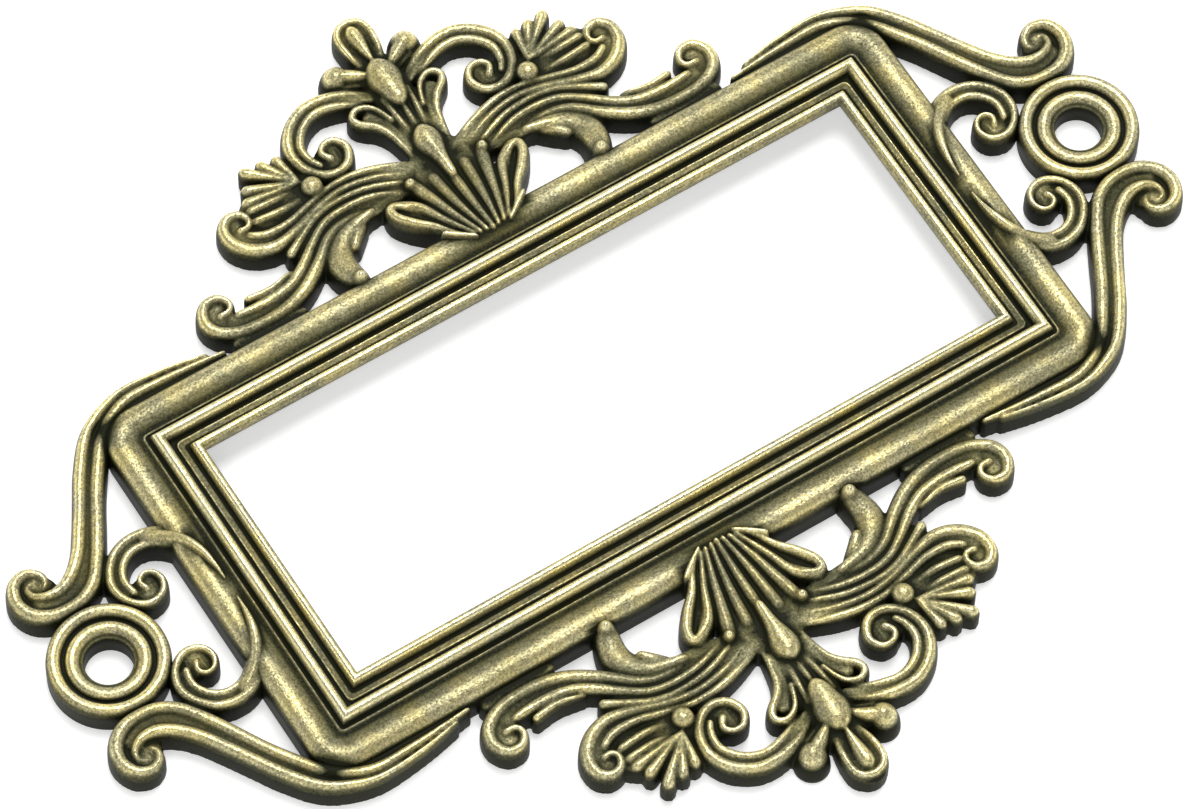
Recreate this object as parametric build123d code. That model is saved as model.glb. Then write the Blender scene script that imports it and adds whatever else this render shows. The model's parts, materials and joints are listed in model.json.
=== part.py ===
from build123d import *
from math import cos, radians, sin
import os

# Label window and the members of its moulding, from the window edge outwards
window_length = 46.0
window_width = 17.8
inner_bead_width = 0.65
channel_width = 0.95
outer_bead_width = 0.85
quirk_width = 0.55
shoulder_width = 2.1
frame_corner_radius = 2.4

# Recess in the back that holds the label card, under a lip that thins to the window edge
card_lap = 3.0
card_recess_depth = 1.4
lip_edge_height = 2.1

# Heights of the moulding above the flat back
bead_height = 3.0
bead_foot_height = 2.6
channel_floor_height = 2.3
shoulder_crown_height = 2.5
shoulder_edge_height = 2.0

# Screw eyelets on the long axis
eyelet_reach = 6.9
hole_diameter = 3.0
rim_width = 0.2
inner_ring_width = 0.95
eyelet_groove_width = 0.3
outer_ring_width = 0.85
inner_ring_height = 1.95
outer_ring_height = 2.15
eyelet_groove_height = 1.5
ring_foot_drop = 0.4

# Cast ornament: reach of a crest from the frame to its finial, thickness of the web, and rises above the web
crest_reach = 16.85
web_height = 1.3
ridge_rise = 0.7
scroll_rise = 0.9
lap_rise = 1.55
tip_rise = 0.2
eye_rise = 0.35
finial_rise = 0.35
bud_rise = 1.25
ball_radius = 0.65
ball_seat_radius = 0.95
ridge_swell = 0.14

# Size of the flat facets that follow a curve
facet_length = 7.0
facet_turn = 64.0
full_form_facets = 3
tip_facets = 4
ball_facets = 6

# The moulding and the eyelets, worked out from their members
moulding_width = inner_bead_width + channel_width + outer_bead_width + quirk_width + shoulder_width
frame_half_length = window_length / 2 + moulding_width
frame_half_width = window_width / 2 + moulding_width
hole_radius = hole_diameter / 2
eyelet_radius = hole_radius + rim_width + inner_ring_width + eyelet_groove_width + outer_ring_width
eyelet_x = frame_half_length + eyelet_reach

# One step of the ornament's drawing, in which a crest reaches 16.85 steps
carving_step = crest_reach / 16.85

# Sections of the relief and of a bead, foot to foot: (share of width, share of height)
rib_section = [(0.0, 0.0), (0.5, 1.0), (1.0, 0.0)]
band_section = [(0.0, 0.0), (0.3, 1.0), (0.7, 1.0), (1.0, 0.0)]
slab_section = [(0.0, 0.0), (0.1, 1.0), (0.9, 1.0), (1.0, 0.0)]
drop_section = [(0.0, 0.0), (0.08, 0.6), (0.3, 1.0), (0.7, 1.0), (0.92, 0.6), (1.0, 0.0)]


def value_along(values, share):
    """Value at a share of the length, running straight between evenly spaced values."""
    if len(values) == 1:
        return values[0]
    place = share * (len(values) - 1)
    index = min(int(place), len(values) - 2)
    return values[index] + (values[index + 1] - values[index]) * (place - index)


def stations(points, least):
    """Share of length, place and sideways direction at steps along a smooth line, closer where it turns."""
    line = Spline(*points)
    steps = 10 * len(points)
    shares = [step / steps for step in range(steps + 1)]
    effort = [0.0]
    for near, far in zip(shares, shares[1:]):
        turn = line.tangent_at(near).get_angle(line.tangent_at(far))
        effort.append(effort[-1] + turn / facet_turn + line.length / steps / facet_length)
    count = max(least, round(effort[-1]))
    result = []
    for step in range(count + 1):
        wanted = effort[-1] * step / count
        share = min(zip(effort, shares), key=lambda pair: abs(pair[0] - wanted))[1]
        along = line.tangent_at(share)
        result.append((share, line.position_at(share), Vector(-along.Y, along.X)))
    return result


def footprint(points, widths, swell=0.0, least=1):
    """Flat face along a smooth line, with a rounded tip."""
    left = []
    right = []
    for share, place, aside in stations(points, least):
        reach = (carving_step * value_along(widths, share) + swell) / 2
        left.append(place + aside * reach)
        right.append(place - aside * reach)
    centre = (left[-1] + right[-1]) / 2
    radius = left[-1] - centre
    tip = [centre + radius.rotate(Axis.Z, -180 * step / tip_facets) for step in range(1, tip_facets)]
    return Face(Wire.make_polygon(left + tip + right[::-1]))


def disc(centre, radius):
    """Flat round face with facets."""
    return Pos(*centre) * RegularPolygon(radius, ball_facets).face()


def relief(points, widths, rises, section, swell=0.0, least=1):
    """Raised form on the web along a smooth line, with flat facets."""
    rows = []
    for share, place, aside in stations(points, least):
        width = carving_step * value_along(widths, share) + swell
        rise = value_along(rises, share)
        rows.append([place + aside * (0.5 - out) * width + Vector(0, 0, web_height + up * rise)
                     for out, up in section])
    under = [row[0] for row in rows] + [row[-1] for row in rows[::-1]]
    rings = [rows[0], rows[-1], under]
    for near, far in zip(rows, rows[1:]):
        for side in range(len(near) - 1):
            rings.append([near[side], near[side + 1], far[side + 1]])
            rings.append([near[side], far[side + 1], far[side]])
    return Solid(Shell([Face(Wire.make_polygon(ring)) for ring in rings]))


def ball(centre):
    """Small ball half sunk in the web, with facets."""
    rings = []
    for turn in (30, 60, 90):
        ring = RegularPolygon(ball_radius * sin(radians(turn)), ball_facets).vertices()
        rings.append([Vector(point.X, point.Y, ball_radius * cos(radians(turn))) for point in ring])
    top = Vector(0, 0, ball_radius)
    faces = [Face(Wire.make_polygon(rings[-1]))]
    for index in range(ball_facets):
        after = (index + 1) % ball_facets
        faces.append(Face(Wire.make_polygon([top, rings[0][index], rings[0][after]])))
        for upper, lower in zip(rings, rings[1:]):
            faces.append(Face(Wire.make_polygon([upper[index], upper[after], lower[after], lower[index]])))
    return Pos(*centre, web_height) * Solid(Shell(faces))


def bead(start, width, foot, crown):
    """Outline points of a rounded bead."""
    return [(start + width * out, foot + (crown - foot) * up) for out, up in band_section]


def frame_moulding():
    """Rectangular frame: one moulded section carried round the window with mitred corners."""
    channel_end = inner_bead_width + channel_width
    quirk_end = channel_end + outer_bead_width + quirk_width
    shoulder_third = shoulder_width / 3
    section = [(card_lap, 0), (card_lap, card_recess_depth), (inner_bead_width, card_recess_depth)]
    section += [(0, lip_edge_height)]
    section += bead(0, inner_bead_width, bead_foot_height, bead_height)
    section += [(inner_bead_width, channel_floor_height), (channel_end, channel_floor_height)]
    section += bead(channel_end, outer_bead_width, bead_foot_height, bead_height)
    section += [(quirk_end - quirk_width, channel_floor_height), (quirk_end, channel_floor_height)]
    section += [(quirk_end + shoulder_third, shoulder_crown_height)]
    section += [(moulding_width - shoulder_third, shoulder_crown_height)]
    section += [(moulding_width, shoulder_edge_height), (moulding_width, 0)]
    half_length = window_length / 2
    half_width = window_width / 2
    start = Plane((half_length, 0, 0), x_dir=(1, 0, 0), z_dir=(0, -1, 0))
    path = Wire.make_polygon([(half_length, 0), (half_length, half_width), (-half_length, half_width),
                              (-half_length, -half_width), (half_length, -half_width)])
    band = sweep(start * Face(Wire.make_polygon(section)), path, transition=Transition.RIGHT)
    rounded = RectangleRounded(2 * frame_half_length, 2 * frame_half_width, frame_corner_radius)
    return band & extrude(rounded, bead_height)


def eyelet():
    """Turned screw eyelet: a plain hole, two raised rings and a groove between them."""
    rim = hole_radius + rim_width
    inner_end = rim + inner_ring_width
    outer_start = inner_end + eyelet_groove_width
    inner_foot = inner_ring_height - ring_foot_drop
    outer_foot = outer_ring_height - ring_foot_drop
    section = [(hole_radius, 0), (hole_radius, inner_foot)]
    section += bead(rim, inner_ring_width, inner_foot, inner_ring_height)
    section += [(inner_end, eyelet_groove_height), (outer_start, eyelet_groove_height)]
    section += bead(outer_start, outer_ring_width, outer_foot, outer_ring_height)
    section += [(eyelet_radius, 0)]
    return Pos(eyelet_x, 0, 0) * revolve(Plane.XZ * Face(Wire.make_polygon(section)), Axis.Z)


def from_corner(points):
    """Points measured from the frame's outer corner."""
    return [(frame_half_length + carving_step * x, frame_half_width + carving_step * y) for x, y in points]


def from_eyelet(points):
    """Points measured from the centre of the screw hole."""
    return [(eyelet_x + carving_step * x, carving_step * y) for x, y in points]


def from_end(points):
    """Points measured from the middle of the frame's short outer edge."""
    return [(frame_half_length + carving_step * x, carving_step * y) for x, y in points]


def from_crest(points):
    """Points measured from the middle of the frame's long outer edge."""
    return [(carving_step * x, frame_half_width + carving_step * y) for x, y in points]


# Ridges of one quarter of an end: (line, widths, rises above the web), broad ones, then fine ones
lap_to_scroll = [lap_rise, lap_rise, scroll_rise, ridge_rise, ridge_rise, ridge_rise]
end_bands = [
    # corner scroll, ridge beside the frame, then round the volute
    (from_corner([(-9.6, 0.1), (-6.0, 0.45), (-3.1, 0.6), (-1.4, -0.05), (0.9, -2.5)])
     + from_eyelet([(-5.0, 10.0), (-3.0, 6.5), (-1.0, 4.4), (0.9, 4.15), (2.3, 4.95), (2.8, 6.1),
                    (2.3, 7.25), (1.3, 7.55), (0.6, 7.1), (0.5, 6.4)]),
     [0.2, 0.75, 0.95, 1.0, 1.0, 1.0, 1.05, 1.0, 0.85, 0.55],
     [scroll_rise]),
    # corner scroll, outer ridge, into the eye of the volute
    (from_corner([(-7.5, 0.85), (-3.1, 1.25), (-1.1, 0.7), (0.5, -0.3)])
     + from_eyelet([(-5.0, 11.9), (-3.0, 8.6), (-1.9, 6.95), (-0.6, 5.7), (0.7, 5.6)]),
     [0.1, 0.5, 0.8, 0.95, 0.95, 1.0, 1.0, 1.1],
     [scroll_rise]),
]
end_ribs = [
    # inner scroll, outer ridge, from a leaf point on the moulding
    (from_end([(-1.5, 1.0), (-1.5, 2.6), (-1.0, 4.6), (0.0, 5.85)])
     + from_eyelet([(-5.4, 6.35), (-4.0, 6.0), (-3.0, 5.0), (-2.65, 3.8), (-3.1, 2.6), (-4.1, 1.95),
                    (-5.15, 2.2), (-5.55, 3.1)]),
     [0.4, 0.7, 0.75, 0.8, 0.8, 0.75, 0.7, 0.6],
     lap_to_scroll),
    # inner scroll, inner ridge, into its eye
    (from_end([(-1.3, 1.2), (-0.9, 2.8), (-0.2, 4.4)])
     + from_eyelet([(-6.1, 5.4), (-4.9, 5.55), (-3.9, 5.0), (-3.4, 4.0), (-3.65, 3.1)]),
     [0.35, 0.6, 0.7, 0.7, 0.65, 0.6],
     lap_to_scroll),
]

# Web under the end scrolls where no ridge covers it: (line, widths)
end_fills = [
    (from_corner([(-9.6, 0.0), (-6.0, 0.3), (-3.1, 0.4), (-1.6, -0.2), (0.6, -1.6)])
     + from_eyelet([(-5.0, 10.9), (-3.0, 7.5), (-1.4, 5.6), (0.2, 5.0), (1.3, 5.4)]),
     [0.4, 1.1, 1.5, 1.4, 1.2, 1.2, 1.2, 1.2]),
    (from_end([(-0.8, 3.6), (0.2, 5.2)]) + from_eyelet([(-5.4, 5.9), (-4.0, 5.5), (-3.1, 4.5), (-3.2, 3.2)]),
     [0.6, 0.8, 0.8, 0.8]),
]

# Round eyes at the hearts of the end scrolls: (centre, radius, radius of the web round it)
end_eyes = [
    (from_eyelet([(1.35, 6.1)])[0], 0.95, 1.5),
    (from_eyelet([(-4.5, 3.0)])[0], 0.85, 0.95),
]

# Leaves and scrolls of one half of a crest: (line, widths, rises above the web)
lap_to_ridge = [lap_rise, scroll_rise, ridge_rise]
crest_ridges = [
    # curl beside the finial, outer ridge round its volute
    (from_crest([(1.5, 11.4), (2.9, 12.2), (4.4, 12.55), (5.8, 12.4), (7.1, 11.5), (7.75, 10.2),
                 (7.6, 8.9), (6.9, 7.9), (5.9, 7.5), (4.95, 7.85), (4.5, 8.8), (5.0, 9.6)]),
     [0.5, 0.7, 0.7, 0.7, 0.7, 0.7, 0.5],
     [ridge_rise]),
    # curl, inner ridge into its eye
    (from_crest([(2.4, 11.0), (3.5, 11.6), (4.9, 11.85), (6.2, 11.3), (7.0, 10.2), (6.95, 9.1), (6.4, 8.6)]),
     [0.4, 0.65, 0.65, 0.65, 0.6],
     [ridge_rise]),
    # upper branch, outer ridge round its volute
    (from_crest([(2.6, 5.4), (4.2, 6.0), (6.2, 6.3), (8.2, 6.0), (10.0, 5.4), (11.7, 5.05), (13.1, 5.5),
                 (14.0, 6.5), (14.1, 7.6), (13.5, 8.25), (12.7, 8.15), (12.35, 7.5)]),
     [0.35, 0.5, 0.55, 0.7, 0.9, 0.85, 0.5],
     [ridge_rise]),
    # upper branch, inner ridge into its eye
    (from_crest([(1.9, 5.9), (3.4, 6.4), (5.0, 6.8), (6.8, 6.85), (8.6, 6.45), (10.4, 6.0), (12.0, 6.05),
                 (12.9, 6.7)]),
     [0.4, 0.55, 0.5, 0.5, 0.75],
     [ridge_rise]),
    # barb between the branches
    (from_crest([(3.2, 4.9), (5.0, 5.55), (7.0, 5.75), (8.6, 5.5), (10.0, 4.85), (11.3, 4.1)]),
     [0.35, 0.5, 0.5, 0.6, 0.7],
     [ridge_rise]),
    # lower branch, upper ridge into its eye
    (from_crest([(3.6, 4.4), (5.2, 4.95), (7.0, 5.1), (8.6, 4.8), (10.0, 3.9), (11.2, 2.95), (12.5, 2.25),
                 (14.0, 2.0), (15.5, 2.05), (16.6, 2.3)]),
     [0.35, 0.5, 0.6, 0.8, 0.8, 0.85],
     [ridge_rise]),
    # lower branch, under ridge round its volute
    (from_crest([(4.4, 3.95), (6.0, 4.3), (7.6, 4.3), (8.9, 3.8), (10.2, 2.7), (11.8, 1.6), (13.4, 1.0),
                 (15.2, 0.85), (16.8, 1.05), (18.0, 1.75), (18.35, 2.8), (17.8, 3.75), (16.9, 3.8),
                 (16.35, 3.1)]),
     [0.35, 0.5, 0.65, 0.9, 0.95, 0.9, 0.85, 0.5],
     [ridge_rise]),
    # barb on the back of the lower branch
    (from_crest([(12.4, 2.9), (13.8, 2.6), (15.2, 2.75)]), [0.3, 0.5, 0.55], [ridge_rise]),
    # side leaf on the stem, outer and inner ridges
    (from_crest([(1.35, 6.2), (1.65, 8.0), (2.35, 9.2), (2.95, 10.1)]), [0.4, 0.6, 0.65], [ridge_rise]),
    (from_crest([(1.1, 7.5), (1.4, 9.0), (1.95, 10.1), (2.5, 10.6)]), [0.35, 0.5, 0.5], [ridge_rise]),
    # rib beside the middle of the stem
    (from_crest([(0.75, 7.7), (0.8, 9.0), (0.85, 10.3)]), [0.4, 0.45, 0.45], [ridge_rise]),
    # ribs and leaf of the fan that lies over the moulding
    (from_crest([(0.45, -1.2), (0.85, 1.2), (1.05, 3.9)]), [0.25, 0.5, 0.55], lap_to_ridge),
    (from_crest([(0.85, -1.15), (1.65, 1.2), (2.2, 3.2), (2.45, 4.3)]), [0.25, 0.5, 0.7], lap_to_ridge),
    (from_crest([(1.25, -1.05), (2.2, 0.8), (3.1, 2.7), (4.3, 3.5)]), [0.25, 0.5, 0.65], lap_to_ridge),
    (from_crest([(2.3, -0.1), (3.2, 1.0), (4.1, 2.1), (4.7, 3.0)]), [0.4, 0.7, 0.7], lap_to_ridge),
    (from_crest([(1.65, -1.0), (2.3, -0.6), (3.0, -0.05)]), [0.25, 0.6, 0.5], [lap_rise]),
    # inner lobe of the paw leaf
    (from_crest([(6.5, 3.5), (7.2, 3.05), (7.7, 2.5)]), [0.5, 0.75, 0.6], [ridge_rise]),
    # long ribs of the shell
    (from_crest([(8.8, 7.9), (10.3, 7.85), (11.9, 7.95)]), [0.4, 0.55, 0.6], [ridge_rise]),
    (from_crest([(8.8, 7.1), (10.3, 7.0), (12.0, 7.15)]), [0.4, 0.55, 0.55], [ridge_rise]),
]

# Lobes of the shell spread from one root to these tips
shell_root = (8.35, 8.1)
shell_tips = [(8.75, 10.25), (9.7, 10.4), (10.9, 10.6), (11.3, 9.3), (11.7, 8.55)]
shell_widths = [0.2, 0.55, 0.75]
for tip_x, tip_y in shell_tips:
    middle = ((shell_root[0] + tip_x) / 2, (shell_root[1] + tip_y) / 2)
    crest_ridges.append((from_crest([shell_root, middle, (tip_x, tip_y)]), shell_widths, [ridge_rise]))

# Full, rounded leaves: the bud beside the finial, and the paw whose foot stands on the moulding
crest_leaves = [
    (from_crest([(1.0, 12.5), (1.9, 13.1), (2.8, 13.6)]), [0.7, 1.15, 1.1], [ridge_rise]),
    (from_crest([(6.0, 3.9), (7.8, 3.5), (8.9, 2.6), (9.1, 1.4), (8.7, 0.1)]),
     [0.5, 1.1, 1.7, 1.6, 1.1],
     [ridge_rise, ridge_rise, ridge_rise, scroll_rise, lap_rise]),
]

# Round eyes at the hearts of the crest scrolls, with the web round them, and the ball beside the shell
crest_eyes = [
    (from_crest([(5.8, 8.85)])[0], 0.75, 1.2),
    (from_crest([(13.15, 7.3)])[0], 0.75, 1.0),
    (from_crest([(17.3, 2.8)])[0], 0.9, 1.1),
]
ball_centre = from_crest([(7.86, 7.4)])[0]

# Web that fills between the ridges of one half of a crest: (line, widths)
crest_fills = [
    (from_crest([(1.4, 4.9), (3.2, 5.2), (5.0, 5.6), (7.0, 5.7), (8.8, 5.2), (10.2, 4.6)]),
     [1.8, 2.4, 3.0, 2.6, 2.6, 1.8]),
    (from_crest([(8.0, 7.4), (9.6, 7.8), (11.4, 7.6)]), [1.8, 2.8, 2.8]),
    (from_crest([(9.6, 5.9), (11.2, 5.6), (12.6, 6.1), (13.3, 7.0)]), [1.2, 1.1, 1.1, 1.0]),
    (from_crest([(9.6, 4.0), (11.0, 2.6), (12.4, 1.9), (14.0, 1.7), (15.6, 1.5), (16.9, 1.9)]),
     [1.6, 1.5, 1.5, 1.8, 1.6, 1.2]),
    (from_crest([(12.7, 0.2), (15.0, 0.3), (17.3, 0.3)]), [0.6, 1.2, 0.9]),
    (from_crest([(1.2, 6.6), (1.6, 8.6), (2.3, 9.9)]), [0.7, 0.8, 0.8]),
    (from_crest([(1.4, 11.1), (3.2, 11.9), (5.0, 12.2), (6.6, 11.4), (7.35, 10.0), (7.2, 8.8)]),
     [0.9, 0.8, 0.8, 0.8, 0.8]),
    (from_crest([(2.0, 0.3), (3.2, 1.8), (4.2, 2.9)]), [1.2, 1.3, 1.0]),
    (from_crest([(2.6, 4.3), (4.2, 4.1), (6.6, 3.9)]), [0.9, 0.8, 0.8]),
    (from_crest([(0.6, 12.2), (1.5, 12.4), (2.4, 12.7)]), [1.2, 0.8, 0.5]),
]

# Web, ribs, drops and finial on the centre line of a crest
stem_fills = [
    (from_crest([(0, -1.3), (0, 0.5), (0, 2.5), (0, 4.6)]), [2.4, 4.0, 5.0, 5.2]),
    (from_crest([(0, 4.4), (0, 8.0), (0, 10.0), (0, 12.6)]), [2.8, 2.4, 2.8, 2.8]),
    (from_crest([(0, 12.2), (0, 14.0), (0, 15.65)]), [1.8, 1.9, 2.4]),
]
stem_ribs = [
    (from_crest([(0, -1.4), (0, -0.2), (0, 2.5), (0, 5.0)]), [0.3, 0.65, 0.6, 0.55],
     [lap_rise, lap_rise, scroll_rise, ridge_rise]),
    (from_crest([(0, 7.7), (0, 9.0), (0, 10.2)]), [0.5], [ridge_rise]),
]
stem_drops = [
    (from_crest([(0, 13.1), (0, 14.6), (0, 15.9), (0, 16.5)]), [0.2, 0.7, 1.0, 0.4],
     [tip_rise, ridge_rise, scroll_rise, finial_rise]),
    (from_crest([(0, 9.8), (0, 10.8), (0, 11.9), (0, 12.9)]), [0.9, 2.1, 2.5, 0.7],
     [ridge_rise, bud_rise, bud_rise, tip_rise]),
    (from_crest([(0, 4.2), (0, 5.4), (0, 6.5), (0, 7.5)]), [0.7, 1.3, 2.0, 0.5],
     [ridge_rise, bud_rise, bud_rise, tip_rise]),
]
finial_slab = (from_crest([(0, 12.9), (0, 14.0), (0, 15.7), (0, 16.7)]), [1.4, 1.6, 2.1, 0.9], [finial_rise])


def web(faces):
    """One flat plate from overlapping outlines."""
    outline = faces[0].fuse(*faces[1:])
    return [extrude(face, web_height, dir=(0, 0, 1)) for face in outline.faces()]


def joined(pieces):
    """One body from overlapping pieces."""
    return pieces[0].fuse(*pieces[1:])


def with_mirror(shape, plane):
    """A shape and its mirror image."""
    return [shape, mirror(shape, about=plane)]


def bosses(eyes):
    """Low round bosses for the hearts of scrolls."""
    return [extrude(disc(centre, carving_step * radius), web_height + eye_rise)
            for centre, radius, web_radius in eyes]


def half_crest():
    """Leaves and scrolls on one side of a crest's stem."""
    faces = [footprint(line, widths, ridge_swell) for line, widths, rises in crest_ridges]
    faces += [footprint(line, widths, ridge_swell, full_form_facets) for line, widths, rises in crest_leaves]
    faces += [footprint(line, widths, least=full_form_facets) for line, widths in crest_fills]
    faces += [disc(centre, carving_step * web_radius) for centre, radius, web_radius in crest_eyes]
    faces.append(disc(ball_centre, ball_seat_radius))
    pieces = web(faces)
    pieces += [relief(*stroke, rib_section, ridge_swell) for stroke in crest_ridges]
    pieces += [relief(*leaf, drop_section, ridge_swell, full_form_facets) for leaf in crest_leaves]
    pieces += bosses(crest_eyes)
    pieces.append(ball(ball_centre))
    return joined(pieces)


def stem():
    """Finial, pear, bud and ribs on the centre line of a crest."""
    pieces = web([footprint(line, widths, least=full_form_facets) for line, widths in stem_fills])
    pieces += [relief(*stroke, rib_section, ridge_swell) for stroke in stem_ribs]
    pieces += [relief(*stroke, drop_section, least=full_form_facets) for stroke in stem_drops]
    pieces.append(relief(*finial_slab, slab_section, least=full_form_facets))
    return joined(pieces)


def half_end():
    """Corner scroll and inner scroll on one side of an eyelet."""
    faces = [footprint(line, widths, ridge_swell) for line, widths, rises in end_bands + end_ribs]
    faces += [footprint(line, widths) for line, widths in end_fills]
    faces += [disc(centre, carving_step * web_radius) for centre, radius, web_radius in end_eyes]
    pieces = web(faces)
    pieces += [relief(*stroke, band_section, ridge_swell) for stroke in end_bands]
    pieces += [relief(*stroke, rib_section, ridge_swell) for stroke in end_ribs]
    pieces += bosses(end_eyes)
    return joined(pieces)


scrolls = half_end()
end = joined([eyelet()] + with_mirror(scrolls, Plane.XZ))
crest = joined(with_mirror(half_crest(), Plane.YZ) + [stem()])
label_frame = joined([frame_moulding()] + with_mirror(crest, Plane.XZ) + with_mirror(end, Plane.YZ))

os.makedirs("parts", exist_ok=True)
export_step(label_frame, "parts/label_frame.step")
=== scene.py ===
import json
import math
import bpy
import bmesh
import numpy as np
from mathutils import Matrix, Vector


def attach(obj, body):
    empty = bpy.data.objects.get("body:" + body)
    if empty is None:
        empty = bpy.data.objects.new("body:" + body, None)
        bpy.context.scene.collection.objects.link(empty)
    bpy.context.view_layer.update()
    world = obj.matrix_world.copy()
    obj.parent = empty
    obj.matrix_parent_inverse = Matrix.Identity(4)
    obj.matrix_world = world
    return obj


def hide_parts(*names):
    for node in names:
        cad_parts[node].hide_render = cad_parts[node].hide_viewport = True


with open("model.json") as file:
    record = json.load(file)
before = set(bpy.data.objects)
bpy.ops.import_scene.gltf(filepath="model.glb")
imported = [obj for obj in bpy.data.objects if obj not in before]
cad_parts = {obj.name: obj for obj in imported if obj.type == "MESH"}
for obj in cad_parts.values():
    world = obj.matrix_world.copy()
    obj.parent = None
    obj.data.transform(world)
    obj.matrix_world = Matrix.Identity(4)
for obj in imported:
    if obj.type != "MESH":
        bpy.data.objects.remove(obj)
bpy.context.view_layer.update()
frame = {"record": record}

# The casting is drawn in millimetres and turned to metres at the end
metresPerMm = 0.001
screwHoles = frame["record"]["mounts"][0]["dims"]
eyeletX = screwHoles["spacing_x_mm"] / 2
holeRadius = screwHoles["hole_r_mm"]


# sRGB hex to a linear colour
def colour(hexText):
    parts = [int(hexText[i:i + 2], 16) / 255 for i in (0, 2, 4)]
    return [c / 12.92 if c <= 0.04045 else ((c + 0.055) / 1.055) ** 2.4 for c in parts] + [1.0]


# Adds one node, sets its properties and fills its inputs by value or by link
def addNode(tree, kind, inputs=None, **settings):
    node = tree.nodes.new(kind)
    for name, value in settings.items():
        setattr(node, name, value)
    for key, value in (inputs or {}).items():
        if isinstance(value, bpy.types.NodeSocket):
            tree.links.new(value, node.inputs[key])
        else:
            node.inputs[key].default_value = value
    return node


def newObject(name, data):
    piece = bpy.data.objects.new(name, data)
    bpy.context.scene.collection.objects.link(piece)
    return piece


# Moulding of the label window: offset from the window edge, height, radius in the corners
moulding = {
    "windowX": 46.0,
    "windowY": 17.8,
    "cornerSteps": 8,
    "railStep": 1.0,
    "section": [
        (3.0, 0.0, 0.3), (3.0, 1.4, 0.3), (0.95, 1.4, 0.1), (0.06, 2.06, 0.05),
        (0.0, 2.14, 0.05), (0.0, 2.58, 0.05), (0.05, 2.8, 0.05), (0.16, 2.95, 0.05), (0.32, 3.0, 0.05),
        (0.47, 2.95, 0.05), (0.58, 2.78, 0.05), (0.64, 2.5, 0.05), (0.68, 2.24, 0.1), (0.76, 2.16, 0.1),
        (0.88, 2.16, 0.15), (0.93, 2.24, 0.25), (0.98, 2.27, 0.3), (1.22, 2.28, 0.35), (1.28, 2.34, 0.4),
        (1.33, 2.28, 0.4), (1.36, 2.16, 0.4), (1.44, 2.12, 0.3), (1.54, 2.15, 0.2), (1.6, 2.24, 0.1),
        (1.64, 2.52, 0.05), (1.73, 2.8, 0.05), (1.88, 2.96, 0.05), (2.03, 3.0, 0.05), (2.18, 2.96, 0.05),
        (2.32, 2.8, 0.05), (2.41, 2.52, 0.05), (2.46, 2.22, 0.1), (2.56, 2.13, 0.2), (2.66, 2.16, 0.25),
        (2.7, 2.3, 0.3), (2.75, 2.33, 0.35), (2.81, 2.28, 0.38), (2.88, 2.18, 0.4), (3.06, 2.2, 0.5),
        (3.3, 2.34, 0.6), (3.7, 2.48, 0.9), (4.05, 2.55, 1.3), (4.4, 2.52, 1.7), (4.7, 2.4, 2.05),
        (4.92, 2.18, 2.3), (5.04, 1.9, 2.42), (5.1, 1.5, 2.45), (5.1, 0.0, 2.45),
    ],
}
edgeX = moulding["windowX"] / 2 + moulding["section"][-1][0]
edgeY = moulding["windowY"] / 2 + moulding["section"][-1][0]

# Ringed screw eyelet: radius past the hole, height
eyelet = {
    "turns": 96,
    "section": [
        (0.0, 0.0), (0.0, 1.45), (0.08, 1.6), (0.25, 1.62), (0.32, 1.78), (0.5, 1.93), (0.76, 1.98),
        (1.0, 1.9), (1.12, 1.72), (1.14, 1.5), (1.2, 1.5), (1.24, 1.58), (1.32, 1.5), (1.38, 1.5),
        (1.42, 1.78), (1.58, 2.03), (1.86, 2.14), (2.08, 2.06), (2.24, 1.84), (2.3, 1.5), (2.3, 0.0),
    ],
}

# Sections of the carved strokes, half of each:
# across as a share of half the width, up as a share of the crown
sections = {
    "ridge": [(1.0, 0.0), (1.0, 0.4), (0.97, 0.56), (0.88, 0.73), (0.7, 0.87), (0.45, 0.96), (0.2, 0.99)],
    "leaf": [(1.0, 0.0), (1.0, 0.36), (0.96, 0.54), (0.86, 0.72), (0.66, 0.87), (0.42, 0.96), (0.2, 0.99)],
    "web": [(1.0, 0.0), (1.0, 0.7), (0.95, 0.86), (0.86, 0.96), (0.7, 1.0), (0.35, 1.0)],
}

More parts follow.
